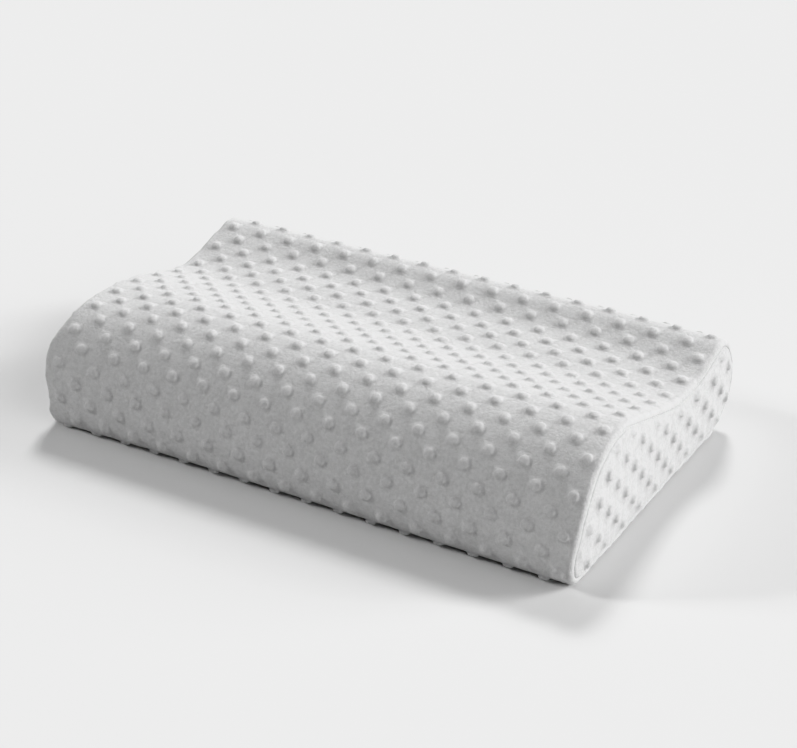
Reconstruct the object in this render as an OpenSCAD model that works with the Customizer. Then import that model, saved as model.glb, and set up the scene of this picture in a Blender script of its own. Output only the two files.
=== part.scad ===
// Contour bed pillow: a moulded foam core in a jersey liner and a zipped bubble-velour cover.
// Origin: centre of the underside. +X runs along the length, -Y is the high lobe's side, +Z is up.

/* [Pillow] */
// Length, end to end
length = 500; // [480:5:600]
// Depth, from the high lobe's front to the low lobe's back
depth = 300; // [280:2:330]
// Height of the high lobe, under the neck
high_h = 102; // [96:1:112]
// Height of the low lobe
low_h = 87; // [86:1:92]
// Height at the bottom of the hollow between the lobes
hollow_h = 72; // [66:1:76]
// Distance of the high lobe's crest from the front
high_in = 82; // [76:1:90]
// Distance of the hollow's lowest line from the back
hollow_in = 96; // [88:1:104]
// Distance of the low lobe's crest from the back
low_in = 31; // [26:1:31]

/* [Corner radii] */
// Front corner, where the high lobe meets the underside
front_r = 24; // [18:1:30]
// Crest of the high lobe
high_r = 75; // [65:1:80]
// Hollow between the lobes
hollow_r = 106; // [95:1:120]
// Crest of the low lobe
low_r = 25; // [24:1:28]
// Back corner, where the low lobe meets the underside
back_r = 46; // [43:1:46]

/* [Fabric layers] */
// Thickness of the cover fabric without its bubbles
cover_t = 2; // [1.6:0.1:2.2]
// Thickness of a seam's folded edges inside the cover
seam_t = 1; // [0.6:0.1:1]
// Width of a seam's folded edges
seam_w = 7; // [4:0.5:8]
// Thickness of the jersey liner
liner_t = 0.6; // [0.4:0.1:0.8]
// Thickness of the thread that closes the liner
liner_seam_t = 0.5; // [0.3:0.1:0.6]
// Clearance between one layer and the next
gap = 0.3; // [0.2:0.05:0.4]

/* [Zip] */
// Length of the zip between its stops
zip_len = 400; // [300:5:420]
// Direction that the zip faces, in degrees from straight back
zip_angle = -30; // [-35:1:-25]
// How far the cover is flattened where the zip is sewn in
zip_flat = 2.2; // [2.2:0.1:2.6]
// Half the width of the slot between the cover's two edges
slot_half = 6; // [5.5:0.1:7]
// Width of one tape
tape_w = 12.5; // [11:0.1:12.6]
// Thickness of the tapes
tape_t = 0.6; // [0.4:0.05:0.6]
// Half the gap between the two tapes
tape_gap = 1; // [1:0.1:1.5]
// Length of tape past each stop
tape_end = 14; // [8:1:16]
// Width of one half of the closed chain
coil_w = 2.95; // [2.5:0.05:3.2]
// Height of the chain above the tapes
coil_h = 1.9; // [1.6:0.1:2]
// Distance of each sewing line from the middle of the zip
stitch_y = 9; // [8:0.1:11]

/* [Slider] */
// Length of the slider
slider_len = 13; // [11:0.5:14]
// Half the slider's width across its nose
nose_half = 4.8; // [4.6:0.1:5]
// Half the slider's width at its tail
tail_half = 3.9; // [3.8:0.1:4.2]
// Thickness of each of the slider's plates
plate_t = 0.9; // [0.7:0.1:1]
// Radius of the pull's hinge bar
bar_r = 0.6; // [0.5:0.05:0.7]
// Width of the slider's crown, the arch that holds the pull
crown_w = 1.6; // [1.2:0.1:1.8]
// Length of the pull from its hinge
pull_len = 24; // [18:1:28]
// Width of the pull at its hinge
pull_w = 5.2; // [4.8:0.1:5.6]
// Width of the pull's grip
grip_w = 6.4; // [5:0.1:7]

/* [Label] */
// Width of the folded care label
label_w = 20; // [12:1:22]
// How far the label hangs out of the closing seam
label_h = 13; // [8:0.5:13.5]

/* [Hidden] */

// The profile as circles [y, z, radius] with a belt round them; a negative radius is a hollow.
circles = [
    [front_r - depth / 2, front_r, front_r],
    [high_in - depth / 2, high_h - high_r, high_r],
    [depth / 2 - hollow_in, hollow_h + hollow_r, -hollow_r],
    [depth / 2 - low_in, low_h - low_r, low_r],
    [depth / 2 - back_r, back_r, back_r]];

// Heights along the zip's own normal, counted from the profile's back corner arc
w_flat = -zip_flat;
w_tape = w_flat - cover_t;
w_coil = w_tape + coil_h;
w_top = w_coil + 0.2;
w_under = w_tape - tape_t - gap;
w_liner = w_under - plate_t - gap;
w_foam = w_liner - liner_t - liner_seam_t - gap / 2;

// Depths of the layers below the cover's outer surface
d_liner = cover_t + seam_t + gap;
d_lining = d_liner + liner_t;
d_foam = d_lining + liner_seam_t + gap / 2;

// Half lengths of the layers
x_cover = length / 2;
x_panel = x_cover - cover_t;
x_liner = x_panel - gap;
x_lining = x_liner - liner_t;
x_foam = x_lining - gap;
x_stop = zip_len / 2;
x_slot = x_stop + 5;
x_tape = x_stop + tape_end;
x_slider = x_stop - slider_len / 2 - gap;
x_neck = x_slider + 3.5;
x_pivot = x_slider - 0.5;
w_pivot = w_top + plate_t + 0.2 + bar_r;

// Direction of the belt's outward normal between two circles
function normal_angle(a, b) =
    atan2(b[1] - a[1], b[0] - a[0]) + acos((a[2] - b[2]) / norm([b[0] - a[0], b[1] - a[1]]));

// An angle moved by whole turns until it follows another one, down on a crest and up in a hollow
function following(a, from, down) = down ? from - ((from - a) % 360 + 360) % 360
    : from + ((a - from) % 360 + 360) % 360;

// The points of one circle's arc between the angles a0 and a1, grown outward by t
function arc(c, a0, a1, t) = let (n = ceil(abs(a1 - a0) / 5))
    [for (i = [0:n]) let (a = a0 + (a1 - a0) * i / n) [c[0], c[1]] + (c[2] + t) * [cos(a), sin(a)]];

// The whole profile, grown outward by t
function outline(t) = let (n = len(circles)) [
    for (i = [0:n - 1])
        let (c = circles[i],
            a0 = normal_angle(circles[(i + n - 1) % n], c),
            a1 = following(normal_angle(c, circles[(i + 1) % n]), a0, c[2] > 0))
        each arc(c, a0, a1, t)];

// One layer's cross-section: the profile shrunk by d and cut flat at height w under the zip
module section(d, w) {
    difference() {
        polygon(outline(-d));
        translate([circles[4][0], circles[4][1]]) rotate(zip_angle)
            translate([back_r + w, -60]) square([60, 120]);
    }
}

// The wall between two cross-sections
module ring(d, w, t) {
    difference() {
        section(d, w);
        section(d + t, w - t);
    }
}

// Extrudes a cross-section along the length, from x0 to x1
module along(x0, x1) {
    translate([x0, 0, 0]) rotate([90, 0, 90]) linear_extrude(x1 - x0) children();
}

// A copy for the right end, or the same thing mirrored to the left end
module at_end(left) {
    mirror([left ? 1 : 0, 0, 0]) children();
}

// The zip's frame: x along the zip, y across it and downwards, z out of the cover
module at_zip() {
    translate([0, circles[4][0], circles[4][1]]) rotate([zip_angle - 90, 0, 0])
        translate([0, 0, back_r]) children();
}

// The upper half of something on the zip, or the same thing mirrored to the lower half
module zip_half(upper) {
    at_zip() mirror([0, upper ? 1 : 0, 0]) children();
}

module foam_core() {
    color("lightyellow") along(-x_foam, x_foam) section(d_foam, w_foam);
}

module liner_sleeve() {
    color("whitesmoke") along(-x_liner, x_liner) ring(d_liner, w_liner, liner_t);
}

module liner_end(left) {
    color("whitesmoke") at_end(left)
        along(x_lining, x_liner) section(d_lining, w_liner - liner_t);
}

module liner_seam(left) {
    color("white") at_end(left)
        along(x_lining - 3, x_lining) ring(d_lining, w_liner - liner_t, liner_seam_t);
}

module cover_wrap() {
    color("gainsboro") difference() {
        along(-x_cover, x_cover) ring(0, w_flat, cover_t);
        at_zip() translate([-x_slot, -slot_half, w_tape - 1])
            cube([2 * x_slot, 2 * slot_half, cover_t + zip_flat + 2]);
    }
}

module cover_end(left) {
    color("white") at_end(left)
        along(x_panel, x_cover) section(cover_t, w_tape);
}

module cover_seam(left) {
    color("lightgray") at_end(left)
        along(x_panel - seam_w, x_panel) ring(cover_t, w_tape, seam_t);
}

// The short seam that closes the cover between the zip and one end
module closing_seam(left) {
    color("lightgray") at_end(left) at_zip()
        translate([x_tape + 2, -2.5, w_tape - seam_t])
            cube([x_panel - seam_w - x_tape - 4, 5, seam_t]);
}

// A folded ribbon that hangs out of the left closing seam and lies on the cover
module care_label() {
    color("white") at_end(true) at_zip()
        translate([(x_tape + x_panel - seam_w - label_w) / 2, 0, w_flat + 0.1])
            cube([label_w, label_h, 0.4]);
}

module zip_tape(upper) {
    color("silver") zip_half(upper)
        translate([-x_tape, tape_gap, w_tape - tape_t]) cube([2 * x_tape, tape_w, tape_t]);
}

module zip_coil(upper) {
    color("whitesmoke") zip_half(upper)
        translate([-x_stop + 4, 0.05, w_tape]) cube([x_neck - 2.3 + x_stop - 4, coil_w, coil_h]);
}

module zip_stitching(upper) {
    color("white") zip_half(upper)
        translate([-x_slot, stitch_y - 0.4, w_flat]) cube([2 * x_slot, 0.8, 0.3]);
}

module zip_top_stop(upper) {
    color("silver") zip_half(upper)
        translate([x_stop, tape_gap + 0.1, w_tape]) cube([3, 3, coil_h]);
}

module zip_bottom_stop() {
    color("silver") at_zip()
        translate([-x_stop, -coil_w, w_tape]) cube([3.6, 2 * coil_w, coil_h]);
}

// The slider's outline from above, its nose towards +x
module slider_outline() {
    polygon([[-slider_len / 2, -tail_half], [-slider_len / 2, tail_half],
        [0.5, nose_half], [slider_len / 2, nose_half],
        [slider_len / 2, -nose_half], [0.5, -nose_half]]);
}

// The way through the slider: one lane at the tail and two round the neck at the nose
module slider_lanes() {
    lane = coil_w + gap;
    polygon([[-slider_len, -lane], [-slider_len, lane],
        [0.5, nose_half - 0.8], [slider_len, nose_half - 0.8],
        [slider_len, 0.8 - nose_half], [0.5, 0.8 - nose_half]]);
}

module zip_slider() {
    color("silver") at_zip() translate([x_slider, 0, 0]) {
        translate([0, 0, w_top]) linear_extrude(plate_t) slider_outline();
        translate([0, 0, w_under - plate_t]) linear_extrude(plate_t) slider_outline();
        translate([0, 0, w_tape + gap]) linear_extrude(w_top - w_tape - gap) difference() {
            slider_outline();
            slider_lanes();
        }
        translate([1.5, gap - tape_gap, w_under]) cube([4, 2 * (tape_gap - gap), w_top - w_under]);
        translate([x_pivot - x_slider, crown_w / 2, w_pivot]) rotate([90, 0, 0])
            linear_extrude(crown_w) crown_outline();
    }
}

// The crown seen from the side: a half ring round the pull's hinge, on two short legs
module crown_outline() {
    r_in = bar_r + 0.7;
    r_out = r_in + 1.2;
    leg = w_pivot - w_top - plate_t;
    difference() {
        union() {
            circle(r_out);
            translate([-r_out, -leg]) square([2 * r_out, leg]);
        }
        circle(r_in);
        translate([-r_in, -leg]) square([2 * r_in, leg]);
        translate([-r_out, -leg - r_out]) square([2 * r_out, r_out]);
    }
}

module zip_pull() {
    eye_w = crown_w + 2 * gap;
    eye_x = bar_r + 2.6;
    grip_r = grip_w / 2;
    color("silver") at_zip() translate([x_pivot, 0, w_pivot]) mirror([1, 0, 0]) {
        rotate([90, 0, 0]) cylinder(h = pull_w, r = bar_r, center = true);
        translate([0, 0, -bar_r]) linear_extrude(2 * bar_r) difference() {
            union() {
                translate([0, -pull_w / 2]) square([eye_x + 2, pull_w]);
                polygon([[eye_x + 2, -pull_w / 2], [eye_x + 2, pull_w / 2],
                    [pull_len - grip_r, grip_r], [pull_len - grip_r, -grip_r]]);
                translate([pull_len - grip_r, 0]) circle(grip_r);
            }
            translate([0, -eye_w / 2]) square([eye_x, eye_w]);
            translate([pull_len - grip_r, 0]) circle(1.5);
        }
    }
}

$fn = 48;
foam_core();
liner_sleeve();
liner_end(true);  // liner_end_left
liner_end(false);  // liner_end_right
liner_seam(true);  // liner_seam_left
liner_seam(false);  // liner_seam_right
cover_wrap();
cover_end(true);  // cover_end_left
cover_end(false);  // cover_end_right
cover_seam(true);  // cover_seam_left
cover_seam(false);  // cover_seam_right
closing_seam(true);  // closing_seam_left
closing_seam(false);  // closing_seam_right
care_label();
zip_tape(true);  // zip_tape_upper
zip_tape(false);  // zip_tape_lower
zip_coil(true);  // zip_coil_upper
zip_coil(false);  // zip_coil_lower
zip_stitching(true);  // zip_stitching_upper
zip_stitching(false);  // zip_stitching_lower
zip_top_stop(true);  // zip_top_stop_upper
zip_top_stop(false);  // zip_top_stop_lower
zip_bottom_stop();
zip_slider();
zip_pull();
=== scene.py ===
"""Looks for the contour pillow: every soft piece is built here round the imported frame."""

import math

import bpy
import numpy as np
from mathutils import Matrix, Vector
from mathutils.geometry import delaunay_2d_cdt


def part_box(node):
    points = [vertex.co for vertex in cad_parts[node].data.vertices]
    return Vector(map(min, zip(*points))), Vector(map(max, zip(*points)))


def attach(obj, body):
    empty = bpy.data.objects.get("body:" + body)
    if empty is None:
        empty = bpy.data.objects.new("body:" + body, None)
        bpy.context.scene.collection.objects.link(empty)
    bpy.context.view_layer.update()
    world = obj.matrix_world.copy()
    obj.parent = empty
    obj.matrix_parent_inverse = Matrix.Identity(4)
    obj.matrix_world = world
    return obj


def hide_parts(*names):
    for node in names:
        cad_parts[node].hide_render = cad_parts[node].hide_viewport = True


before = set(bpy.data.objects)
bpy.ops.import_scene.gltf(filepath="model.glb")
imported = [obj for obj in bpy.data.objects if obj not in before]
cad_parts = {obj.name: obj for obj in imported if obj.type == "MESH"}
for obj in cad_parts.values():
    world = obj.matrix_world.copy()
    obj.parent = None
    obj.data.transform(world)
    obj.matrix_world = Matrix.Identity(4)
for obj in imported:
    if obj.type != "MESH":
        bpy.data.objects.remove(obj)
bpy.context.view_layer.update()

# Lengths here are in millimetres, and MM turns them into Blender's metres.
MM = 0.001
SIDES = ((-1, "left"), (1, "right"))
HALVES = ((-1, "upper"), (1, "lower"))

# ---------------------------------------------------------------- the pillow's profile
LOW, HIGH = (np.round(np.array(c) / MM, 1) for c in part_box("cover_wrap"))
HALF = HIGH[0]
# Circles (y, z, radius) with a belt round them, as in part.scad; a negative radius is a hollow
PROFILE = np.array([
    (LOW[1] + 24, 24, 24),
    (LOW[1] + 82, 27, 75),
    (HIGH[1] - 96, 178, -106),
    (HIGH[1] - 31, 62, 25),
    (HIGH[1] - 46, 46, 46)], float)
BELT_STEP = 0.25
ZIP_ANGLE = math.radians(-30)  # the way the zip faces, from the middle of the rear circle
ZIP_FLAT = -2.2  # how far out from the profile the cover lies along the zip
COVER_T = 2.0  # thickness of the cover's cloth
SLOT_HALF = 6.0  # half the width of the zip's slot in the cover
ZIP_OUT = np.array([math.cos(ZIP_ANGLE), math.sin(ZIP_ANGLE)])
ZIP_DOWN = np.array([math.sin(ZIP_ANGLE), -math.cos(ZIP_ANGLE)])
ZIP_ORIGIN = PROFILE[4, :2] + PROFILE[4, 2] * ZIP_OUT


def belt(circles):
    """Points and outward normals of the belt, clockwise from the front corner."""
    angles = []
    for a, b in zip(circles, np.roll(circles, -1, 0)):
        d = b[:2] - a[:2]
        angles.append(math.atan2(d[1], d[0]) + math.acos((a[2] - b[2]) / math.hypot(*d)))
    points, normals = [], []
    for i, c in enumerate(circles):
        a0, a1 = angles[i - 1], angles[i]
        turn = -((a0 - a1) % (2 * math.pi)) if c[2] > 0 else (a1 - a0) % (2 * math.pi)
        a = a0 + np.linspace(0, 1, 2 + int(abs(turn * c[2]) / BELT_STEP)) * turn
        n = np.stack([np.cos(a), np.sin(a)], 1)
        points.append(c[:2] + c[2] * n)
        normals.append(n)
    points, normals = np.concatenate(points), np.concatenate(normals)
    return np.vstack([points, points[:1]]), np.vstack([normals, normals[:1]])


# BELT_V is each point's distance round the profile
BELT, BELT_N = belt(PROFILE)
BELT_V = np.concatenate([[0], np.cumsum(np.linalg.norm(np.diff(BELT, axis=0), axis=1))])
AROUND = BELT_V[-1]


def nearest_v(y, z):
    return BELT_V[np.argmin(np.linalg.norm(BELT - (y, z), axis=1))]


ZIP_V = nearest_v(*ZIP_ORIGIN)
# How many random values the waves run through, and which one is at the origin
WAVE_KNOTS, WAVE_START = 4096, 1000
WAVE2_KNOTS, WAVE2_START = 256, 100


def smooth(x, a, b):
    """0 below a, 1 above b, and an even ease between them."""
    t = np.clip((x - a) / (b - a), 0, 1)
    return t * t * (3 - 2 * t)


def wave(x, knots, seed):
    """A smooth random curve of about unit height, with that distance between its knots."""
    r = np.random.default_rng(seed).uniform(-1, 1, WAVE_KNOTS)
    k = x / knots + WAVE_START
    i = np.floor(k).astype(int)
    f = smooth(k - i, 0, 1)
    return r[i % WAVE_KNOTS] * (1 - f) + r[(i + 1) % WAVE_KNOTS] * f


def wave2(x, y, knots, seed):
    """The same over a surface."""
    r = np.random.default_rng(seed).uniform(-1, 1, (WAVE2_KNOTS, WAVE2_KNOTS))
    a, b = x / knots + WAVE2_START, y / knots + WAVE2_START
    i, j = np.floor(a).astype(int), np.floor(b).astype(int)
    f, g = smooth(a - i, 0, 1), smooth(b - j, 0, 1)
    at = lambda p, q: r[p % WAVE2_KNOTS, q % WAVE2_KNOTS]
    return ((at(i, j) * (1 - f) + at(i + 1, j) * f) * (1 - g)
            + (at(i, j + 1) * (1 - f) + at(i + 1, j + 1) * f) * g)


# How the stuffed cover departs from the moulded profile: a place on it (y, z), how far that
# reaches along it, and how far it stands out at mid length, at the left end and at the right end
SWELLS = (
    (LOW[1] + 7, 7, 13, 3.0, 5.0, 3.0),
    (LOW[1], 26, 14, 0.0, -3.0, 0.0),
    (LOW[1] + 4, 50, 22, 1.0, 2.0, 1.0),
    (LOW[1] + 82, 102, 34, 0.0, -7.0, 0.5),
    (HIGH[1] - 96, 72, 30, 6.0, 0.5, 1.0),
    (HIGH[1] - 66, 76, 24, 0.0, 4.0, 0.0),
    (HIGH[1] - 31, 87, 22, 2.0, 1.5, 0.5),
    (HIGH[1], 46, 30, 0.5, 0.5, 1.5))
SWELLS = [(nearest_v(y, z), *rest) for y, z, *rest in SWELLS]
# How far from mid length the amounts begin to change to the ends', and where they have
FADE_FROM, FADE_TO = 130, 246


def swell(x, v):
    """How far the cover stands out from the moulded profile."""
    left, right = smooth(-x, FADE_FROM, FADE_TO), smooth(x, FADE_FROM, FADE_TO)
    total = 0
    for place, reach, middle, at_left, at_right in SWELLS:
        away = np.mod(v - place + AROUND / 2, AROUND) - AROUND / 2
        amount = middle * (1 - left - right) + at_left * left + at_right * right
        total = total + amount * np.exp(-(away / reach) ** 2)
    return total


def section(x, v):
    """(points, normals) of the swollen profile at distances v round it, at places x along it."""
    v = np.mod(v, AROUND)
    p = np.stack([np.interp(v, BELT_V, BELT[:, k]) for k in (0, 1)], -1)
    n = np.stack([np.interp(v, BELT_V, BELT_N[:, k]) for k in (0, 1)], -1)
    n = n / np.linalg.norm(n, axis=-1, keepdims=True)
    return p + swell(x, v)[..., None] * n, n


# How far from the zip the fabric lies flat, and where it is round again; then the same by the
# distance from the pillow's ends
FLAT_TO, ROUND_FROM = 12, 24
FLAT_FADE_FROM, FLAT_FADE_TO = 22, 6


def flat_at_zip(p, x, depth=0.0):
    """The same points, with the fabric lying flat along the zip."""
    down = (p - ZIP_ORIGIN) @ ZIP_DOWN
    out = (p - ZIP_ORIGIN) @ ZIP_OUT
    share = ((1 - smooth(np.abs(down), FLAT_TO, ROUND_FROM))
             * (1 - smooth(np.abs(x), HALF - FLAT_FADE_FROM, HALF - FLAT_FADE_TO)))
    return p + (np.minimum(ZIP_FLAT - depth - out, 0) * share)[:, None] * ZIP_OUT


def zip_point(x, down, out):
    """A point by its place along the zip, down the back from it and out from the profile."""
    x, down, out = np.broadcast_arrays(x, down, out)
    return np.column_stack([x.ravel(), ZIP_ORIGIN + out.reshape(-1, 1) * ZIP_OUT
                            + down.reshape(-1, 1) * ZIP_DOWN])


# Where the stuffing pushes the end panels out: a place (y, z), its reach, left and right amounts
PUFFS = ((LOW[1] + 16, 58, 33, 10.0, 1.5), (HIGH[1] - 30, 50, 45, 1.0, 2.5))
PUFF_RUN = 60  # how far from the ends the push begins


def settled(points):
    """The points, with both ends pushed out by the stuffing."""
    points = np.array(points, float)
    x = points[:, 0]
    share = smooth(np.abs(x), HALF - PUFF_RUN, HALF)
    for y, z, reach, left, right in PUFFS:
        near = np.exp(-((points[:, 1] - y) ** 2 + (points[:, 2] - z) ** 2) / reach ** 2)
        points[:, 0] += np.where(x < 0, -left, right) * share * near
    return points


# ---------------------------------------------------------------- meshes and materials
def make(name, points, faces, material, replaces, slot):
    """A mesh object on the pillow, from points in millimetres."""
    mesh = bpy.data.meshes.new(name)
    mesh.from_pydata((settled(points) * MM).tolist(), [], [list(map(int, f)) for f in faces])
    mesh.validate()
    mesh.polygons.foreach_set("use_smooth", [True] * len(mesh.polygons))
    mesh.materials.append(material)
    piece = bpy.data.objects.new(name, mesh)
    bpy.context.scene.collection.objects.link(piece)
    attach(piece, "pillow")
    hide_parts(replaces)
    return piece


# A direction that no thread runs in; every ring of a tube's points starts square to it
TUBE_HELPER = (0.31, 0.93, 0.2)


def tube(path, radius, sides, closed=False):
    """Points and faces of a thread along a path."""
    path = np.asarray(path, float)
    ahead = np.roll(path, -1, 0) - np.roll(path, 1, 0) if closed else np.gradient(path, axis=0)
    ahead = ahead / np.maximum(np.linalg.norm(ahead, axis=1, keepdims=True), 1e-9)
    a = np.cross(ahead, np.array(TUBE_HELPER))
    a /= np.linalg.norm(a, axis=1, keepdims=True)
    b = np.cross(ahead, a)
    t = np.arange(sides) * 2 * math.pi / sides
    rings = (path[:, None] + radius * (np.cos(t)[None, :, None] * a[:, None]
                                       + np.sin(t)[None, :, None] * b[:, None]))
    n = len(path)
    faces = []
    for r in range(n if closed else n - 1):
        q = (r + 1) % n
        for k in range(sides):
            j = (k + 1) % sides
            faces.append((r * sides + k, r * sides + j, q * sides + j, q * sides + k))
    if not closed:
        faces.append(tuple(range(sides))[::-1])
        faces.append(tuple((n - 1) * sides + k for k in range(sides)))
    return rings.reshape(-1, 3), faces


def strip(rows, closed=False):
    """Points, quads and end faces of a strip, from the rows of points that run along it."""
    n, m = len(rows[0]), len(rows)
    quads = []
    for i in range(m):
        a, b = i * n, (i + 1) % m * n
        for k in range(n if closed else n - 1):
            j = (k + 1) % n
            quads.append((a + k, a + j, b + j, b + k))
    ends = [] if closed else [[i * n for i in range(m)][::-1], [i * n + n - 1 for i in range(m)]]
    return np.concatenate(rows), quads, ends


def flipped(faces):
    return [list(f)[::-1] for f in faces]


def join(parts):
    """One set of points and faces from several."""
    points, faces, start = [], [], 0
    for p, f in parts:
        points.append(np.asarray(p))
        faces += [[int(i) + start for i in g] for g in f]
        start += len(p)
    return np.concatenate(points), faces


class Nodes:
    """A short way to write a node material."""

    def __init__(self, name):
        self.material = bpy.data.materials.new(name)
        self.material.use_nodes = True
        self.tree = self.material.node_tree
        self.shader = self.tree.nodes["Principled BSDF"]
        self.place = self.node("ShaderNodeTexCoord").outputs["Object"]

    def node(self, kind, **values):
        """A new node; each value is one of its settings or else one of its sockets."""
        made = self.tree.nodes.new(kind)
        for key, value in values.items():
            if hasattr(made, key):
                setattr(made, key, value)
            else:
                made.inputs[key.replace("_", " ")].default_value = value
        return made

    def link(self, a, b):
        self.tree.links.new(a, b)

    def stretched(self, scale):
        m = self.node("ShaderNodeMapping")
        m.inputs["Scale"].default_value = scale
        self.link(self.place, m.inputs["Vector"])
        return m.outputs["Vector"]

    def noise(self, scale, detail, rough=0.5, stretch=None):
        n = self.node("ShaderNodeTexNoise", Scale=scale, Detail=detail, Roughness=rough)
        self.link(self.stretched(stretch) if stretch else self.place, n.inputs["Vector"])
        return n.outputs["Fac"]

    def bands(self, scale, direction, distort):
        n = self.node("ShaderNodeTexWave", Scale=scale, Distortion=distort,
                      bands_direction=direction)
        self.link(self.place, n.inputs["Vector"])
        return n.outputs["Fac"]

    def ramp(self, fac, stops):
        """Colours at values of fac, which may run past 1."""
        low, high = stops[0][0], stops[-1][0]
        span = self.node("ShaderNodeMapRange", From_Min=low, From_Max=high)
        self.link(fac, span.inputs["Value"])
        r = self.node("ShaderNodeValToRGB")
        while len(r.color_ramp.elements) < len(stops):
            r.color_ramp.elements.new(0.5)
        for e, (at, colour) in zip(r.color_ramp.elements, stops):
            e.position, e.color = (at - low) / (high - low), (*colour, 1)
        self.link(span.outputs["Result"], r.inputs["Fac"])
        return r.outputs["Color"]

    def sum(self, a, b, weight):
        """a + weight * b"""
        m = self.node("ShaderNodeMath", operation="MULTIPLY_ADD")
        m.inputs[1].default_value = weight
        self.link(b, m.inputs[0])
        self.link(a, m.inputs[2])
        return m.outputs["Value"]

    def product(self, a, b):
        m = self.node("ShaderNodeMath", operation="MULTIPLY")
        self.link(a, m.inputs[0])
        self.link(b, m.inputs[1])
        return m.outputs["Value"]

    def surface(self, colour, rough, height, distance, strength, **sockets):
        """Colour and roughness sources, a bump in metres, and plain values of other sockets."""
        self.link(colour, self.shader.inputs["Base Color"])
        self.link(rough, self.shader.inputs["Roughness"])
        b = self.node("ShaderNodeBump", Strength=strength, Distance=distance)
        self.link(height, b.inputs["Height"])
        self.link(b.outputs["Normal"], self.shader.inputs["Normal"])
        for key, value in sockets.items():
            self.shader.inputs[key.replace("_", " ")].default_value = value
        return self.material


def grey(v):
    return (v, v, v)


def velour():
    """Short pile over a knit: fine mottled fuzz, soft sheen, lighter tips."""
    m = Nodes("velour")
    fuzz = m.noise(1500, detail=3, rough=0.7)
    tufts = m.noise(330, detail=3, rough=0.7)
    patches = m.noise(60, detail=3, rough=0.6)
    tint = m.sum(m.sum(fuzz, tufts, weight=2.0), patches, weight=0.5)
    colour = m.ramp(tint, [(1.15, grey(0.43)), (1.75, grey(0.505)), (2.35, grey(0.57))])
    rough = m.ramp(tufts, [(0.3, grey(0.84)), (0.7, grey(0.98))])
    return m.surface(colour, rough, m.sum(fuzz, tufts, weight=2.0), distance=0.0006,
                     strength=0.7, Sheen_Weight=0.3, Sheen_Roughness=0.4,
                     Specular_IOR_Level=0.1)


def cloth(m, base, fluff, share, tones, roughs, distance, sheen, gloss):
    """The surface of a thread or a fabric, with fluff over its base pattern."""
    tint = m.sum(base, fluff, share)
    colour = m.ramp(tint, tones)
    rough = m.ramp(fluff, [(0.3, grey(roughs[0])), (0.7, grey(roughs[1]))])
    return m.surface(colour, rough, tint, distance, strength=0.6, Sheen_Weight=sheen,
                     Specular_IOR_Level=gloss)


def knit(name, light, dark):
    """A fine jersey: rows of loops one way, wales the other, and the odd thicker thread."""
    m = Nodes(name)
    loops = m.product(m.bands(700, "Y", distort=1.5), m.bands(700, "X", distort=1.5))
    slub = m.noise(240, detail=3, rough=0.6, stretch=(0.2, 1, 1))
    return cloth(m, loops, slub, 0.7, [(0.25, dark), (0.9, light)], roughs=(0.8, 0.93),
                 distance=0.00015, sheen=0.15, gloss=0.2)


def twisted(name, light, dark):
    """Spun thread: slanting plies and a little fluff."""
    m = Nodes(name)
    plies = m.bands(1800, "DIAGONAL", distort=0.8)
    fluff = m.noise(3000, detail=3, rough=0.7)
    return cloth(m, plies, fluff, 0.8, [(0.3, dark), (1.2, light)], roughs=(0.7, 0.88),
                 distance=0.00008, sheen=0.1, gloss=0.3)


def woven(name, light, dark, pitch=1300):
    """Zip tape or label ribbon: warp ribs along it crossed by a fine weft."""
    m = Nodes(name)
    ribs = m.product(m.bands(pitch, "X", distort=0.4), m.bands(pitch, "Z", distort=0.4))
    fluff = m.noise(2200, detail=2, rough=0.6)
    return cloth(m, ribs, fluff, 0.6, [(0.2, dark), (0.9, light)], roughs=(0.72, 0.86),
                 distance=0.00012, sheen=0.1, gloss=0.3)


def nylon():
    """Monofilament: smooth, a little translucent, streaked along it."""
    m = Nodes("nylon_coil")
    streaks = m.noise(1600, detail=3, rough=0.6, stretch=(0.4, 1, 1))
    colour = m.ramp(streaks, [(0.3, grey(0.74)), (0.7, grey(0.84))])
    rough = m.ramp(streaks, [(0.3, grey(0.3)), (0.7, grey(0.42))])
    return m.surface(colour, rough, streaks, distance=0.00003, strength=0.4,
                     Subsurface_Weight=0.1, Subsurface_Scale=0.001, Specular_IOR_Level=0.45)


def metal():
    """Die-cast zinc with a satin plate: fine brushing, smoother in patches."""
    m = Nodes("zip_metal")
    brushed = m.noise(1500, detail=4, rough=0.65, stretch=(0.15, 1, 1))
    wear = m.noise(320, detail=3, rough=0.6)
    tint = m.sum(brushed, wear, weight=0.7)
    colour = m.ramp(tint, [(0.5, grey(0.62)), (1.2, grey(0.78))])
    rough = m.ramp(wear, [(0.3, grey(0.24)), (0.7, grey(0.4))])
    return m.surface(colour, rough, tint, distance=0.00003, strength=0.5, Metallic=1.0)


def foam():
    """Moulded polyurethane foam: open cells under a thin skin, slightly yellowed in patches."""
    m = Nodes("foam")
    cells = m.node("ShaderNodeTexVoronoi", Scale=750.0)
    m.link(m.place, cells.inputs["Vector"])
    pores = cells.outputs["Distance"]
    patches = m.noise(28, detail=4, rough=0.6)
    tint = m.sum(patches, pores, weight=0.5)
    colour = m.ramp(tint, [(0.4, (0.80, 0.70, 0.46)), (0.9, (0.92, 0.86, 0.66))])
    rough = m.ramp(pores, [(0.0, grey(0.8)), (0.6, grey(0.98))])
    return m.surface(colour, rough, pores, distance=0.0004, strength=0.8,
                     Specular_IOR_Level=0.15)


VELOUR = velour()
THREAD = twisted("thread", grey(0.86), grey(0.6))

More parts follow.
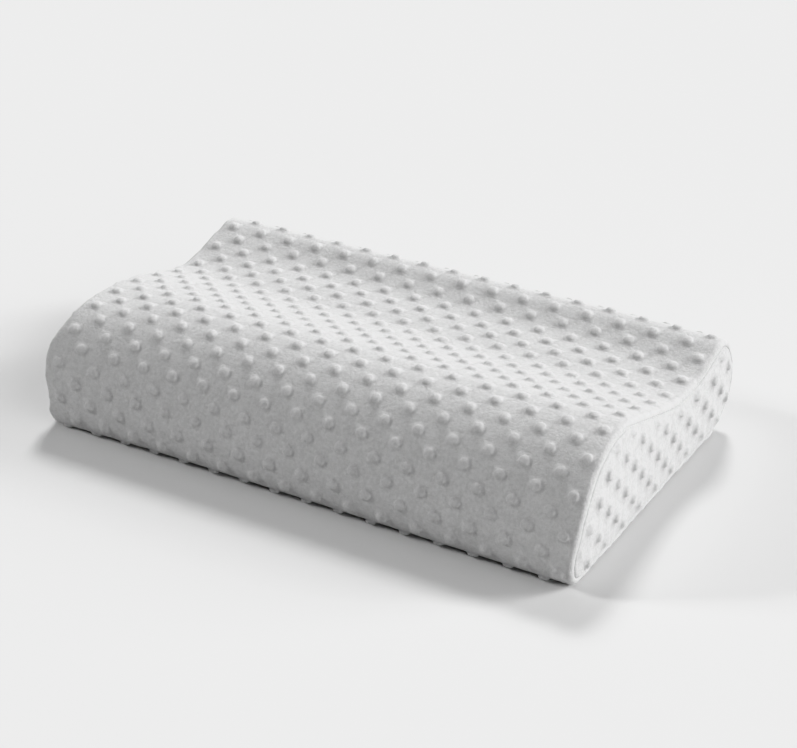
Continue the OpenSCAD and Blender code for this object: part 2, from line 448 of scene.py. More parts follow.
# ---------------------------------------------------------------- the cover's wrap
# A square lattice of bubbles, every other crossing filled, woven into the cover's cloth; u runs
# along the wrap and v round it, and (ROW_U, ROW_V) is a crossing that is filled
PITCH_U, PITCH_V = 15.22, 15.0
ROW_U, ROW_V = -234.2, AROUND + 14.5
BUBBLE_R, BUBBLE_H = 4.9, 2.6
DOME_POWER = 5  # the higher, the flatter a bubble's top
RINGS = (3.3, 4.25, 5.0)  # radii of the rings of points on a bubble
SPOKES = 16  # points on each ring
SPLIT = 4  # quads along a cell of the lattice without a bubble
ROUND_X = HALF - 6  # where the wrap starts to turn in to the end seam
ROUND_R, ROLL_R, LIP_R = 4.5, 1.3, 1.0  # radii of that turn, of the seam's roll, of the lips
ROLLED = (ROUND_R + ROLL_R) * math.pi / 2
END_U = ROUND_X + ROLLED + 0.8
LIP_0 = ZIP_V + SLOT_HALF + LIP_R
LIP_1 = ZIP_V + AROUND - SLOT_HALF - LIP_R
LIP_STEPS = 5  # rows of points round each lip
LIP_CLEAR = 9  # no bubble's middle is nearer to a lip
EDGE_COLUMNS, EDGE_ROWS = 16, 5  # lines of points between the cells and the edges
RESTING = 0.9  # how softly the underside comes down on the floor
CLOSED_HALF = 0.12  # half the gap in the closed part of the rear seam
SLOT_TO, CLOSED_FROM = 204, 212  # where the slot ends, from mid length
INNER_RUN, INNER_SINK = 3.0, 2.5  # how far the inner face goes on past ROUND_X, and sinks
INNER_LIP = 2.6 * LIP_R
# Heights of the puckers by the end seams and by the lips, and of the pile's unevenness
PUCKER, LIP_PUCKER, NAP = 0.5, 0.3, 0.12


def crossings(start, pitch, low, high):
    """The lines of a lattice that lie between low and high."""
    return start + pitch * np.arange(math.ceil((low - start) / pitch),
                                     math.floor((high - start) / pitch) + 1)


US = crossings(ROW_U, PITCH_U, -ROUND_X - 1, ROUND_X + 1)
VS = crossings(ROW_V, PITCH_V, LIP_0 + LIP_CLEAR, LIP_1 - LIP_CLEAR)
U0, U1 = US[0] - PITCH_U / 2, US[-1] + PITCH_U / 2
V0, V1 = VS[0] - PITCH_V / 2, VS[-1] + PITCH_V / 2
FINE_U = U0 + PITCH_U / SPLIT * np.arange(SPLIT * len(US) + 1)
FINE_V = V0 + PITCH_V / SPLIT * np.arange(SPLIT * len(VS) + 1)
LEFT, RIGHT = np.linspace(-END_U, U0, EDGE_COLUMNS), np.linspace(U1, END_U, EDGE_COLUMNS)
LOWER = np.concatenate([LIP_0 - np.arange(LIP_STEPS, 0, -1), np.linspace(LIP_0, V0, EDGE_ROWS)])
UPPER = np.concatenate([np.linspace(V1, LIP_1, EDGE_ROWS), LIP_1 + np.arange(1, LIP_STEPS + 1)])


def dome(a, b, own):
    """Height of a bubble at an offset from its middle; own, 0 to 1, varies its size a little."""
    r = np.hypot(a, b) / (BUBBLE_R * (0.96 + 0.07 * own))
    return BUBBLE_H * (0.88 + 0.22 * own) * np.clip(1 - r ** DOME_POWER, 0, 1)


def lattice(u, v, u0, v0, pitch_v):
    """Height of the bubbles whose lattice starts at (u0, v0)."""
    i, j = np.round((u - u0) / PITCH_U), np.round((v - v0) / pitch_v)
    # A hash, whose fraction is a number of each bubble's own
    own = np.sin(i * 12.9898 + j * 78.233) * 43758.5453
    h = dome(u - u0 - i * PITCH_U, v - v0 - j * pitch_v, own - np.floor(own))
    return np.where((i + j) % 2 == 0, h, 0.0)


def weld(patches):
    """One set of points and faces from patches that share their edges."""
    points, faces = join(patches)
    _, first, to = np.unique(np.round(points, 3), axis=0, return_index=True, return_inverse=True)
    to = to.reshape(-1)
    return points[first], [[to[i] for i in f] for f in faces]


def grid(us, vs):
    """A patch of quads on every crossing of the lines us and vs."""
    u, v = np.meshgrid(us, vs, indexing="ij")
    n = np.arange(u.size).reshape(u.shape)
    quads = np.stack([n[:-1, :-1], n[1:, :-1], n[1:, 1:], n[:-1, 1:]], -1).reshape(-1, 4)
    return np.stack([u.ravel(), v.ravel()], 1), quads.tolist()


def spokes():
    """Unit directions to the points of a ring."""
    a = np.arange(SPOKES) * 2 * math.pi / SPOKES
    return np.stack([np.cos(a), np.sin(a)], 1)


def bubble_cell():
    """A square cell with rings of points round the bubble in its middle."""
    spoke = spokes()
    square = np.round(spoke / np.abs(spoke).max(1, keepdims=True) * SPLIT / 2)
    points = ([np.zeros((1, 2))] + [spoke * r for r in RINGS]
              + [square * (PITCH_U / SPLIT, PITCH_V / SPLIT)])
    faces = []
    for k in range(SPOKES):
        j = (k + 1) % SPOKES
        faces.append((0, 1 + k, 1 + j))
        for ring in range(len(RINGS)):
            s = 1 + ring * SPOKES
            faces.append((s + k, s + SPOKES + k, s + SPOKES + j, s + j))
    return np.concatenate(points), faces


def wrap_patch(bubbles):
    """The wrap's points in its own flat plane, with rings round the bubbles or without."""
    all_v = np.concatenate([LOWER[:-1], FINE_V, UPPER[1:]])
    patches = [grid(LEFT, all_v), grid(RIGHT, all_v), grid(FINE_U, LOWER), grid(FINE_U, UPPER)]
    cell_points, cell_faces = bubble_cell()
    steps = np.arange(-SPLIT // 2, SPLIT // 2 + 1)
    plain_points, plain_faces = grid(steps * PITCH_U / SPLIT, steps * PITCH_V / SPLIT)
    for u in US:
        for v in VS:
            k = round((u - ROW_U) / PITCH_U) + round((v - ROW_V) / PITCH_V)
            if bubbles and k % 2 == 0:
                patches.append((cell_points + (u, v), cell_faces))
            else:
                patches.append((plain_points + (u, v), plain_faces))
    return weld(patches)


def end_curve(u):
    """(x, inset, share of height outwards, share sideways) at a distance u along the wrap."""
    s = np.abs(u) - ROUND_X
    a = np.clip(s / ROUND_R, 0, math.pi / 2)
    b = np.clip((s - ROUND_R * math.pi / 2) / ROLL_R, 0, math.pi / 2)
    rest = np.clip(s - ROLLED, 0, None)
    x = np.minimum(np.abs(u), ROUND_X) + ROUND_R * np.sin(a) + ROLL_R * (np.cos(b) - 1) - rest
    inset = ROUND_R * (1 - np.cos(a)) + ROLL_R * np.sin(b)
    out = np.where(b > 0, -np.sin(b), np.cos(a))
    side = np.where(b > 0, np.cos(b), np.sin(a))
    return x * np.sign(u), inset, out, side * np.sign(u)


def lip_half(x):
    """Half the gap between the cover's lips: the zip's slot, and a closed seam beyond it."""
    open_share = 1 - smooth(np.abs(x), SLOT_TO, CLOSED_FROM)
    return CLOSED_HALF + (SLOT_HALF - CLOSED_HALF) * open_share


def past_cells(v, near, far, first, last):
    """v, with the rows between the outermost cells and the lips stretched to near and far."""
    w = np.where(v < V0, V0 - (V0 - np.maximum(v, first)) * (V0 - near) / (V0 - first), v)
    return np.where(v > V1, V1 + (np.minimum(v, last) - V1) * (far - V1) / (last - V1), w)


def cover(x, v, depth):
    """Points at a depth under the cover's outside, and the outward normals there."""
    p, n = section(x, v)
    p[..., 1] = (p[..., 1] + np.sqrt(p[..., 1] ** 2 + 4 * RESTING ** 2)) / 2
    return flat_at_zip(p, x) - np.asarray(depth)[..., None] * n, n


def wrap_outside(uv, height):
    """Places points of the flat wrap in space, lifted by height over the cloth."""
    u, v = uv[:, 0], uv[:, 1]
    x, inset, out, side = end_curve(u)
    lip = lip_half(x) + LIP_R
    w = past_cells(v, ZIP_V + lip, ZIP_V + AROUND - lip, LIP_0, LIP_1)
    p, n = cover(x, w, inset)
    low = np.clip((LIP_0 - v) / LIP_STEPS, 0, 1)
    up = np.clip((v - LIP_1) / LIP_STEPS, 0, 1)
    turn = (low + up) * math.pi
    slide = LIP_R * np.sin(turn) * np.where(low > 0, -1.0, 1.0)
    p = p + (LIP_R * (np.cos(turn) - 1))[:, None] * ZIP_OUT + slide[:, None] * ZIP_DOWN
    p = p + (height * out)[:, None] * n
    # What would sink into the floor is pressed flat on it
    p[:, 1] = np.maximum(p[:, 1], 0)
    return np.column_stack([x + height * side, p])


def wrap_inside(uv):
    """The same points on the wrap's inner face."""
    u, v = uv[:, 0], uv[:, 1]
    s = np.clip((np.abs(u) - ROUND_X) / (END_U - ROUND_X), 0, 1)
    x = np.sign(u) * (np.minimum(np.abs(u), ROUND_X) + s * INNER_RUN)
    lip = lip_half(x) + INNER_LIP
    w = past_cells(v, ZIP_V + lip, ZIP_V + AROUND - lip, LOWER[0], UPPER[-1])
    return np.column_stack([x, cover(x, w, COVER_T + INNER_SINK * s)[0]])


def border(faces):
    """The open edges of some faces, as pairs of points in the faces' own direction."""
    edges = {(a, b) for f in faces for a, b in zip(f, f[1:] + f[:1])}
    return sorted((a, b) for a, b in edges if (b, a) not in edges)


def wrap_height(uv):
    """Bubbles, puckers by the seams and the slight unevenness of the pile."""
    u, v = uv[:, 0], uv[:, 1]
    by_end = END_U - np.abs(u)
    by_lip = np.minimum(v - LIP_0, LIP_1 - v)
    h = lattice(u, v, ROW_U, ROW_V, PITCH_V) * smooth(by_end, 5, 11) * smooth(by_lip, 2, 9)
    pucker = np.where(u > 0, wave(v, 4.6, 21), wave(v, 4.6, 22)) + 0.6 * wave(v, 10, 23)
    h = h + PUCKER * pucker * np.exp(-((by_end - 7) / 5) ** 2)
    h = h + LIP_PUCKER * wave(u, 6.0, 31) * np.exp(-((by_lip - 5) / 4) ** 2) * (by_lip > 0)
    return h + NAP * wave2(u, v, 9, 41) * smooth(by_end, 3, 9)


def closed_shell(outer, inner, faces_out, faces_in, to_inner):
    """Outer and inner faces joined round their border; to_inner maps an outer point there."""
    shift = len(outer)
    faces = [list(f) for f in faces_out] + [[shift + i for i in f[::-1]] for f in faces_in]
    for a, b in border([list(f) for f in faces_out]):
        faces.append((b, a, shift + to_inner[a], shift + to_inner[b]))
    return np.concatenate([outer, inner]), faces


def build_wrap():
    """Bubbles outside, plain cloth inside, open along the zip."""
    flat_out, faces_out = wrap_patch(True)
    flat_in, faces_in = wrap_patch(False)
    key = {tuple(np.round(p, 3)): k for k, p in enumerate(flat_in)}
    rim = {a for e in border(faces_out) for a in e}
    outer = wrap_outside(flat_out, wrap_height(flat_out))
    points, faces = closed_shell(outer, wrap_inside(flat_in), faces_out, faces_in,
                                 {a: key[tuple(np.round(flat_out[a], 3))] for a in rim})
    piece = make("cover_wrap_velour", points, faces, VELOUR, "cover_wrap", "velour")


# ---------------------------------------------------------------- the cover's end panels
SEAM_INSET = ROUND_R + ROLL_R + 0.15
PANEL_X = HALF - 1.2
# How wide the panel's rolled edge is, how far it falls away there, and then into the seam
PANEL_ROLL, PANEL_FALL, PANEL_TUCK = 2.0, 1.2, 1.6
PANEL_Y, PANEL_Z = -65.0, 75.5  # a crossing of the panel's lattice that is filled
PANEL_BUBBLE = 1.1  # its bubbles' height, to the wrap's
PANEL_PUCKER = 0.35
# The panel's crown: the most it bulges at the left and the right end, how far from the seam it
# takes to get there, how steeply it starts, and how much less of it there is at the back
CROWN = {-1: 7.0, 1: 3.0}
CROWN_RUN, CROWN_POWER = 38, 2.2
CROWN_FADE, CROWN_FADE_RUN = 0.55, 60
CROWN_INSIDE = 0.5  # the inner face's crown, to the outside's
PANEL_SUNK = 3.6  # how far the inner face starts behind the cloth's
# Loops of points along the panel's edge, by their distance in from the seam; the spots on and
# between its bubbles begin further in
PANEL_LOOPS = (-1.4, -0.6, 0, 0.5, 1.1, 1.9, 3.0, 4.6, 6.8)
SPOTS_FROM = 7.8
LOOP_POINTS, OUTLINE_POINTS = 240, 1400
AT_ONCE = 1500  # points measured at a time, to spare memory


def outline(side):
    """The cover's cross-section at an end, as points and normals."""
    v = np.linspace(0, AROUND, OUTLINE_POINTS, endpoint=False)
    return cover(np.full(len(v), side * HALF), v, np.zeros(len(v)))


def away_from(edge, p):
    """How far points of a cross-section are from an outline, and the nearest places on it."""
    near = np.concatenate([
        np.argmin(((p[k:k + AT_ONCE, None] - edge[None]) ** 2).sum(2), axis=1)
        for k in range(0, len(p), AT_ONCE)])
    return np.linalg.norm(p - edge[near], axis=1), near


def crown(s):
    """The share of the full crown at a distance s from the seam."""
    return 1 - (1 - np.clip(s / CROWN_RUN, 0, 1)) ** CROWN_POWER


def panel_outside(p, depth, side):
    """How far out the panel's outside stands at points of the cross-section."""
    s = depth - SEAM_INSET
    a = np.clip(1 - s / PANEL_ROLL, 0, 1)
    x = PANEL_X - PANEL_FALL * (1 - np.sqrt(1 - a ** 2)) - PANEL_TUCK * smooth(-s, 0.2, 1.0)
    back = smooth(p[:, 0], LOW[1] + CROWN_FADE_RUN, HIGH[1] - CROWN_FADE_RUN)
    x = x + CROWN[side] * (1 - CROWN_FADE * back) * crown(s)
    bubbles = lattice(p[:, 0], p[:, 1], PANEL_Y, PANEL_Z, PITCH_U)
    x = x + PANEL_BUBBLE * bubbles * smooth(s, 1.5, 6.0)
    around = np.arctan2(p[:, 1] - 45, p[:, 0]) * 100
    x = x + PANEL_PUCKER * wave(around, 4.0, 51 + side) * np.exp(-((s - 3) / 4) ** 2)
    return x + NAP * wave2(p[:, 0], p[:, 1], 9, 61 + side)


def panel_points(side):
    """Points of one panel's cross-section: loops along its edge, rings round its bubbles."""
    edge, normals = outline(side)
    v = np.linspace(0, AROUND, LOOP_POINTS, endpoint=False)
    loops = [cover(np.full(len(v), side * HALF), v, np.full(len(v), SEAM_INSET + d))[0]
             for d in PANEL_LOOPS]
    rows = [np.arange(math.floor((LOW[k] - c) / PITCH_U), math.ceil((HIGH[k] - c) / PITCH_U) + 1)
            for k, c in ((1, PANEL_Y), (2, PANEL_Z))]
    steps = np.arange(-1, 2) * PITCH_U / SPLIT
    fill = np.stack(np.meshgrid(steps, steps), -1).reshape(-1, 2)
    rings = np.concatenate([np.zeros((1, 2))] + [spokes() * r for r in RINGS])
    spots = np.concatenate([
        (rings if (i + j) % 2 == 0 else fill) + (PANEL_Y + i * PITCH_U, PANEL_Z + j * PITCH_U)
        for i in rows[0] for j in rows[1]])
    depth, near = away_from(edge, spots)
    within = ((edge[near] - spots) * normals[near]).sum(1) > 0
    spots = spots[within & (depth > SEAM_INSET + SPOTS_FROM)]
    return np.concatenate(loops + [spots])


def build_end(side, name):
    """An end panel, triangulated inside its outermost loop."""
    flat = panel_points(side)
    ring = [(k, (k + 1) % LOOP_POINTS) for k in range(LOOP_POINTS)]
    points, _, faces, *_ = delaunay_2d_cdt([Vector(p) for p in flat], ring, [], 1, 1e-5)
    assert len(points) == len(flat)
    faces = [list(f) for f in faces]
    turned = [sum(points[a].cross(points[b]) for a, b in zip(f, f[1:] + f[:1])) < 0
              for f in faces]
    faces = [f[::-1] if t else f for f, t in zip(faces, turned)]
    depth, _ = away_from(outline(side)[0], flat)
    outer = np.column_stack([panel_outside(flat, depth, side), flat])
    back = HALF - COVER_T - PANEL_SUNK + CROWN[side] * CROWN_INSIDE * crown(depth - SEAM_INSET)
    inner = np.column_stack([back, flat])
    points, faces = closed_shell(outer, inner, faces, faces, range(len(flat)))
    if side < 0:
        points, faces = points * (-1, 1, 1), flipped(faces)
    piece = make("cover_end_%s_velour" % name, points, faces, VELOUR,
                 "cover_end_" + name, "velour")


# ---------------------------------------------------------------- thread and seams
# Stitches in the groove of an end seam: from one to the next, along, in from the end, the dip of
# their ends, and the thread's radius
SEAM_PITCH, SEAM_STITCH, SEAM_GROOVE, SEAM_DIP, SEAM_THREAD = 4.1, 1.2, 2.3, 1.4, 0.28
# The seam's allowance: its section, as (in from the end, depth under the cover's outside), and
# the thread wound over it, by turns, points a turn, middle, half the width and height, radius
ALLOWANCE = ((3.5, 5.6), (10.3, 5.6), (10.5, 6.1), (10.3, 6.6), (3.5, 6.6), (3.3, 6.1))
WOUND_TURNS, WOUND_POINTS = 177, 8
WOUND_IN, WOUND_DEEP, WOUND_WIDE, WOUND_HIGH, WOUND_THREAD = 8.3, 6.1, 2.3, 0.75, 0.22


def build_cover_seams():
    """The overlocked edge inside each end seam, and the stitches that show in its groove."""
    for side, name in SIDES:
        v = np.arange(0, AROUND, SEAM_PITCH)
        x = np.full(len(v), side * HALF)
        bits = []
        a = cover(x, v, np.full(len(v), ROUND_R + 0.5))[0]
        b = cover(x, v + SEAM_STITCH, np.full(len(v), SEAM_INSET + 0.9))[0]
        out = side * (HALF - SEAM_GROOVE)
        dipped = out - side * SEAM_DIP
        for p, q in zip(a, b):
            bits.append(tube([(dipped, *p), (out, *(p * 0.7 + q * 0.3)),
                              (out, *(p * 0.3 + q * 0.7)), (dipped, *q)], SEAM_THREAD, 4))
        # The allowance waves a little, and most at its free edge
        v = np.linspace(0, AROUND, 2 * WOUND_TURNS, endpoint=False)
        sway = 0.5 * wave(v, 9, 71 + side)
        rows = []
        for along, deep in ALLOWANCE:
            xs = np.full(len(v), side * (HALF - along)) + side * sway * (along > 5)
            rows.append(np.column_stack([xs, cover(xs, v, deep + 0.3 * sway)[0]]))
        points, faces, _ = strip(rows, closed=True)
        if side > 0:
            faces = flipped(faces)
        t = np.arange(0, 1, 1 / (WOUND_POINTS * WOUND_TURNS))
        turn = t * (2 * WOUND_TURNS) * math.pi
        xs = side * (HALF - WOUND_IN + WOUND_WIDE * np.cos(turn))
        deep = WOUND_DEEP + WOUND_HIGH * np.sin(turn)
        path = np.column_stack([xs, cover(xs, t * AROUND, deep)[0]])
        wound = tube(path, WOUND_THREAD, 4, closed=True)
        make("cover_seam_%s_overlock" % name, *join(bits + [(points, faces), wound]), THREAD,
             "cover_seam_" + name, "seam_edge")


# The seams past the zip: where they begin and end, one edge's section as (down, out), and the
# stitches' pitch, length and radius
CLOSING_FROM, CLOSING_TO = 216.0, 239.0
CLOSING_EDGE = ((0.15, -4.3), (1.6, -4.25), (2.4, -4.4), (2.5, -4.75), (2.4, -5.1),
                (1.6, -5.2), (0.15, -5.2))
CLOSING_PITCH, CLOSING_STITCH, CLOSING_THREAD = 2.6, 1.7, 0.2


def build_closing_seams():
    """The short seams past each end of the zip: two turned-in edges and their stitches."""
    for side, name in SIDES:
        xs = np.linspace(CLOSING_FROM, CLOSING_TO, 24)
        parts = []
        for half, _ in HALVES:
            rows = [zip_point(side * xs, half * down,
                              out + 0.08 * wave(xs, 3, 81 + half) * (down > 1))
                    for down, out in CLOSING_EDGE]
            points, quads, ends = strip(rows)
            faces = flipped(quads + ends) if half * side < 0 else quads + ends
            parts.append((points, faces))
        for x in np.arange(CLOSING_FROM + 0.8, CLOSING_TO - 1, CLOSING_PITCH):
            path = zip_point(side * np.linspace(x, x + CLOSING_STITCH, 4),
                             np.array([-1.2, -1.3, 1.3, 1.2]),
                             np.array([-4.6, -4.12, -4.12, -4.6]))
            parts.append(tube(path, CLOSING_THREAD, 5))
        make("closing_seam_%s_thread" % name, *join(parts), THREAD,
             "closing_seam_" + name, "seam_edge")


# ---------------------------------------------------------------- the zip
# The tapes: how far out their middle lies, half their thickness and that of their edges, and
# the lines of points across them; the edges are outside the limits
TAPE_OUT, TAPE_THICK, TAPE_EDGE = -4.5, 0.3, 0.22
TAPE_LINES = np.array([1.0, 1.5, 2.5, 5.0, 7.5, 10.0, 12.6, 13.3, 13.5])
TAPE_LIMITS = (1.2, 13)
# The coils: a turn's length and points, the wire's radius, then their middle and half their
# size, first down the back and then outwards
COIL_PITCH, COIL_POINTS, COIL_WIRE = 1.5, 12, 0.27
COIL_DOWN, COIL_WIDE, COIL_OUT, COIL_HIGH = 1.52, 1.18, -3.25, 0.64
# The stitches that hold the tapes: how far from mid length they reach, how far from the zip's
# middle they run, and their own length, pitch, lean, height over the cover and radius
ROW_END, ROW_DOWN = 205, 9
ROW_STITCH, ROW_PITCH, ROW_LEAN, ROW_OUT, ROW_THREAD = 2.5, 3.1, 0.12, 0.35, 0.24
# The label's middle line as (down, out), then how far it all lies out, half its thickness, and
# how much its fold curls
LABEL_LINE = ((0.0, -2.9), (1, -2.1), (3, -1.6), (6, -1.5), (9, -1.4), (11.5, -1.3), (12.6, -1.3),
              (12.95, -1.55), (12.6, -1.8), (11.5, -1.82), (9, -1.85), (6, -1.95), (3, -2.0),
              (1, -2.2), (0, -3.1))
LABEL_OUT, LABEL_THICK, LABEL_CURL = 0.9, 0.07, 0.25


def build_tapes(material):
    """Woven tapes: a thin ribbon each, a little thinner along both of its edges."""
    lo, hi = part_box("zip_tape_upper")
    x = np.linspace(lo.x / MM, hi.x / MM, 215)
    for half, name in HALVES:
        rows = []
        for face in (1, -1):
            for d in TAPE_LINES[::face]:
                thick = TAPE_THICK if TAPE_LIMITS[0] < d < TAPE_LIMITS[1] else TAPE_EDGE
                sag = 0.08 * wave(x, 7, 91 + half) * (d > 4)
                rows.append(zip_point(x, half * d, TAPE_OUT + face * thick + sag))
        points, quads, ends = strip(rows)
        faces = flipped(quads + ends) if half < 0 else quads + ends
        piece = make("zip_tape_%s_woven" % name, points, faces, material,
                     "zip_tape_" + name, "tape")


def build_coils(material):
    """Nylon coils: one spiral a side, the lower a quarter of a turn's length further on."""
    lo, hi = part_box("zip_coil_upper")
    start, turns = lo.x / MM + 0.3, int((hi.x - lo.x) / MM / COIL_PITCH - 0.6)
    t = np.arange(turns * COIL_POINTS + 1) / COIL_POINTS
    a = t * 2 * math.pi
    down = COIL_DOWN + COIL_WIDE * np.cos(a) + 0.1 * np.cos(2 * a)
    out = COIL_OUT + COIL_HIGH * np.sin(a)
    for half, name in HALVES:
        shift = 0.25 * COIL_PITCH if half > 0 else 0.0
        path = zip_point(start + shift + COIL_PITCH * t, half * down, out)
        make("zip_coil_%s_spiral" % name, *tube(path, COIL_WIRE, 5), material,
             "zip_coil_" + name, "coil")


def build_stitching():
    """A row of lockstitches along each tape, each stitch bedded at its ends in the cover."""
    u = np.array([0, 0.15, 0.5, 0.85, 1.0])
    rise = np.array([-0.1, 0.2, 0.28, 0.2, -0.1])
    for half, name in HALVES:
        bits = []
        for k, x in enumerate(np.arange(-ROW_END, ROW_END - ROW_STITCH, ROW_PITCH)):
            lean = ROW_LEAN * math.sin(k * 2.4)
            path = zip_point(x + ROW_STITCH * u, half * (ROW_DOWN + lean * (u - 0.5) * 2),
                             ZIP_FLAT + rise + ROW_OUT)
            bits.append(tube(path, ROW_THREAD, 5))
        make("zip_stitching_%s_row" % name, *join(bits), THREAD,
             "zip_stitching_" + name, "thread")


def build_label(material):
    """A blank ribbon, folded in half and caught in the closing seam by its two ends."""
    lo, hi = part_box("care_label")
    x = np.linspace(lo.x / MM, hi.x / MM, 15)
    centre = np.array(LABEL_LINE)
    ahead = np.gradient(centre, axis=0)
    ahead /= np.linalg.norm(ahead, axis=1, keepdims=True)
    normal = np.column_stack([-ahead[:, 1], ahead[:, 0]])
    rows = []
    for face in (1, -1):
        for d, o in (centre + LABEL_THICK * face * normal)[::face]:
            curl = LABEL_CURL * wave(x, 8, 101) * (d / 13) ** 2
            rows.append(zip_point(x, d, o + LABEL_OUT + curl))
    points, quads, ends = strip(rows)
    faces = [(a, d, c, b) for a, b, c, d in quads] + flipped(ends)
    piece = make("care_label_ribbon", points, faces, material, "care_label", "ribbon")


# ---------------------------------------------------------------- inside the cover
CORE_END = HALF - 8.0
LAID_LOOPS, LAID_STEP = 60, 5.0  # loops along the straight part, and the step round each
END_LOOPS = 8  # loops in each curved end
# (depth under the cover's outside, how far past CORE_END, the end curve's length and depth)
CORE = (4.7, 0.0, 12, 12)
LINER_OUTER = (3.3, 1.2, 13, 12.5)
LINER_INNER = (3.9, 0.8, 13, 12.5)
LINER_T = 0.6
# Loops of points on a liner's end, as shares of its rim
LINER_SHARES = (1.0, 0.985, 0.9, 0.75, 0.55, 0.35, 0.15)
# The thread that closes it: the step of its points, the pitch of its zigzag, how far past
# CORE_END it starts, its depth, how far it swings, and its radius
CLOSE_STEP, CLOSE_PITCH, CLOSE_X = 1.05, 4.2, 1.55
CLOSE_DEEP, CLOSE_SWING, CLOSE_THREAD = 15.2, 0.9, 0.3


def lay_round(depth, past, curve_x, curve_in, seed=None):
    """Loops of points that follow the cover at a depth and curve in at both ends."""
    v = np.arange(0, AROUND, LAID_STEP)[:-1]
    a = np.linspace(0, math.pi / 2, END_LOOPS)
    straight = CORE_END + past - curve_x
    xs = np.concatenate([-straight - curve_x * np.sin(a[::-1]),
                         np.linspace(-straight, straight, LAID_LOOPS)[1:-1],
                         straight + curve_x * np.sin(a)])
    ins = np.concatenate([curve_in * (1 - np.cos(a[::-1])), np.zeros(LAID_LOOPS - 2),
                          curve_in * (1 - np.cos(a))])
    loops = []
    for x, inset in zip(xs, ins):
        full = np.full(len(v), x)
        deep = depth + inset + (0.15 * wave2(full, v, 7, seed) if seed else 0)
        p = cover(full, v, deep)[0]
        p = flat_at_zip(p, full, depth + 1.2)
        loops.append(np.column_stack([full, p]))
    return loops


def skin(loops, closed):
    """Points and faces over the loops, with a face on the first and the last if closed."""
    n, count = len(loops[0]), len(loops)
    faces = [[r * n + k, (r + 1) * n + k, (r + 1) * n + (k + 1) % n, r * n + (k + 1) % n]
             for r in range(count - 1) for k in range(n)]
    if closed:
        faces.append(list(range(n)))
        faces.append([(count - 1) * n + k for k in range(n)][::-1])
    return np.concatenate(loops), faces


def build_core():
    points, faces = skin(lay_round(*CORE, seed=111), True)
    piece = make("foam_core_moulded", points, faces, foam(), "foam_core", "foam")


def build_liner_end(side, name, rim, material):
    """A flat end of the liner, inside the rim of its sleeve."""
    n, middle = len(rim), rim.mean(0)
    loops = []
    for layer, step in ((0.0, 1), (-LINER_T, -1)):
        for share in LINER_SHARES[::step]:
            ring = middle + (rim - middle) * share
            ring[:, 0] = side * (CORE_END + LINER_OUTER[1] + 0.5 * (1 - share) + layer)
            loops.append(ring)
    faces = []
    m = len(loops)
    for r in range(m):
        q = (r + 1) % m
        # The two innermost loops are filled, and all the others are joined
        if r == m // 2 - 1:
            faces.append([r * n + k for k in range(n)])
            faces.append([q * n + k for k in range(n)][::-1])
            continue
        for k in range(n):
            j = (k + 1) % n
            faces.append([r * n + k, r * n + j, q * n + j, q * n + k])
    if side > 0:
        faces = flipped(faces)
    piece = make("liner_end_%s_jersey" % name, np.concatenate(loops), faces, material,
                 "liner_end_" + name, "jersey")


def build_liner_seam(side, name):
    """The zigzag that joins the liner's end to its sleeve."""
    t = np.arange(0, AROUND, CLOSE_STEP)
    swing = np.sin(t / AROUND * 2 * math.pi * round(AROUND / CLOSE_PITCH))
    xs = np.full(len(t), side * (CORE_END + CLOSE_X)) - side * 0.5 * (1 - swing) * 0.9
    p = cover(xs, t, CLOSE_DEEP - CLOSE_SWING * swing)[0]
    path = np.column_stack([xs, flat_at_zip(p, xs, LINER_OUTER[0] + 1.2)])
    make("liner_seam_%s_thread" % name, *tube(path, CLOSE_THREAD, 5, closed=True), THREAD,
         "liner_seam_" + name, "thread")


def build_liner(material):
    """The sleeve, two layers joined at their rims, and then its ends."""
    outer, inner = lay_round(*LINER_OUTER), lay_round(*LINER_INNER)
    points, faces = skin(outer, False)
    inner_points, inner_faces = skin(inner, False)
    n, last = len(outer[0]), (len(outer) - 1) * len(outer[0])
    shift = len(points)
    faces += [[shift + i for i in f[::-1]] for f in inner_faces]
    for k in range(n):
        j = (k + 1) % n
        faces.append([j, k, shift + k, shift + j][::-1])
        faces.append([last + k, last + j, shift + last + j, shift + last + k][::-1])
    piece = make("liner_sleeve_jersey", np.concatenate([points, inner_points]), faces, material,
                 "liner_sleeve", "jersey")
    for side, name in SIDES:
        build_liner_end(side, name, outer[0 if side < 0 else -1], material)
        build_liner_seam(side, name)


# ---------------------------------------------------------------- floor, lights and camera
# These are in metres
FLOOR_HALF, FLOOR_DROP = 20.0, 0.0003
WORLD = 0.04
# Large soft lights far off: where each one is from the pillow, its spread in degrees, its power
LIGHTS = (
    ("key", (-0.5, 1.15, 1.3), 12, 2.3),
    ("side", (1.4, 1.15, 0.7), 20, 2.7),
    ("end", (2.0, 0.1, 0.6), 80, 3.3),
    ("left", (-1.8, -0.6, 0.9), 12, 2.0))
# The photo's camera: azimuth, elevation and roll in degrees, distance, focal length and frame
# width in pixels, and the point it looks at, by height and then across and up
CAMERA_TURN = (31.61, 28.85, -0.94)
CAMERA_AWAY, FOCAL_PX, FRAME_PX, SENSOR = 1.6166, 1908.5, 797, 36.0
AIM_HEIGHT, AIM_RIGHT, AIM_UP = 0.04, 0.00865, 0.00586


def build_stage():
    mesh = bpy.data.meshes.new("floor")
    s = FLOOR_HALF
    mesh.from_pydata([(-s, -s, 0), (s, -s, 0), (s, s, 0), (-s, s, 0)], [], [(0, 1, 2, 3)])
    m = Nodes("floor")
    grain = m.noise(3, detail=2)
    mesh.materials.append(m.surface(m.ramp(grain, [(0.2, grey(0.62)), (0.8, grey(0.63))]),
                                    m.ramp(grain, [(0.2, grey(0.9)), (0.8, grey(0.95))]),
                                    grain, distance=0.0001, strength=0.1))
    floor = bpy.data.objects.new("floor", mesh)
    floor.location.z = -FLOOR_DROP
    bpy.context.scene.collection.objects.link(floor)


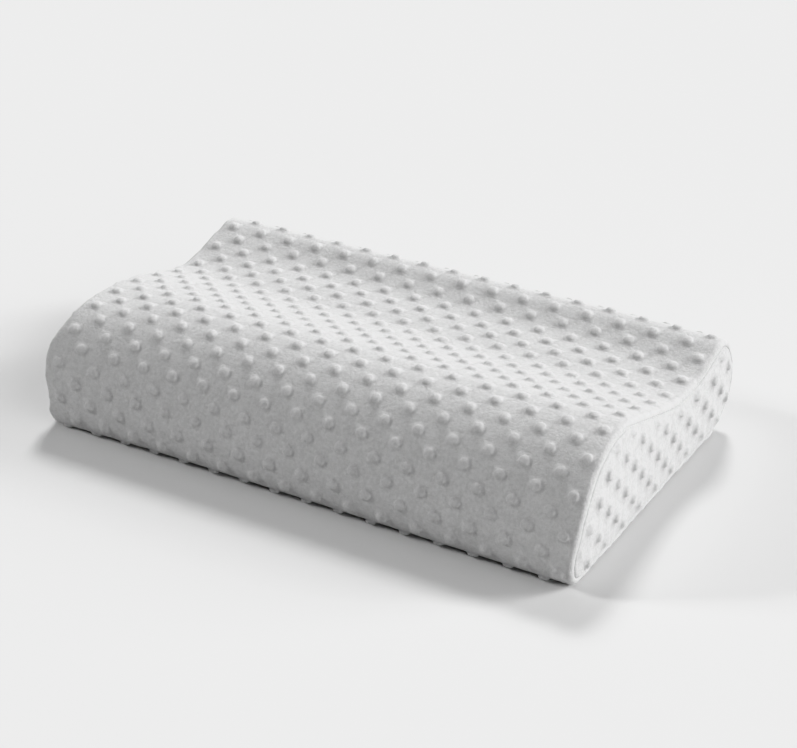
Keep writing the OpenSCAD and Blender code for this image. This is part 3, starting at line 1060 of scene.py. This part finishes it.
def build_lights():
    world = bpy.data.worlds.new("studio")
    world.use_nodes = True
    world.node_tree.nodes["Background"].inputs["Color"].default_value = (1, 1, 1, 1)
    world.node_tree.nodes["Background"].inputs["Strength"].default_value = WORLD
    bpy.context.scene.world = world
    bpy.context.scene.view_settings.view_transform = "Khronos PBR Neutral"
    for name, towards, spread, power in LIGHTS:
        light = bpy.data.lights.new(name, "SUN")
        light.energy, light.angle = power, math.radians(spread)
        lamp = bpy.data.objects.new(name, light)
        lamp.rotation_euler = Vector(towards).to_track_quat("Z", "Y").to_euler()
        bpy.context.scene.collection.objects.link(lamp)


def build_camera():
    azimuth, elevation, roll = (math.radians(a) for a in CAMERA_TURN)
    back = Vector((math.sin(azimuth) * math.cos(elevation),
                   -math.cos(azimuth) * math.cos(elevation), math.sin(elevation)))
    right = Vector((math.cos(azimuth), math.sin(azimuth), 0))
    up = back.cross(right)
    right, up = (math.cos(roll) * right + math.sin(roll) * up,
                 math.cos(roll) * up - math.sin(roll) * right)
    target = Vector((0, 0, AIM_HEIGHT)) + AIM_RIGHT * right + AIM_UP * up
    data = bpy.data.cameras.new("camera")
    data.sensor_width = SENSOR
    data.lens = FOCAL_PX * SENSOR / FRAME_PX
    camera = bpy.data.objects.new("camera", data)
    camera.matrix_world = Matrix((right, up, back)).transposed().to_4x4()
    camera.location = target + back * CAMERA_AWAY
    bpy.context.scene.collection.objects.link(camera)
    bpy.context.scene.camera = camera


# How wide the metal's edges are broken, in metres, and from what angle in degrees
BROKEN_EDGE, SHARP_EDGE = 0.00022, 35


def dress_metal():
    """The CAD's slider, pull and stops keep their shape, with their edges broken."""
    material = metal()
    for name in ("zip_slider", "zip_pull", "zip_top_stop_upper", "zip_top_stop_lower",
                 "zip_bottom_stop"):
        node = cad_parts[name]
        node.data.materials.clear()
        node.data.materials.append(material)
        edges = node.modifiers.new("edges", "BEVEL")
        edges.width, edges.segments, edges.limit_method = BROKEN_EDGE, 2, "ANGLE"
        edges.angle_limit = math.radians(SHARP_EDGE)


build_core()
build_liner(knit("jersey", grey(0.88), grey(0.7)))
build_wrap()
build_end(1, "right")
build_end(-1, "left")
build_cover_seams()
build_closing_seams()
build_tapes(woven("tape", grey(0.86), grey(0.66)))
build_coils(nylon())
build_stitching()
build_label(woven("ribbon", grey(0.93), grey(0.8), 1900))
dress_metal()
build_stage()
build_lights()
build_camera()
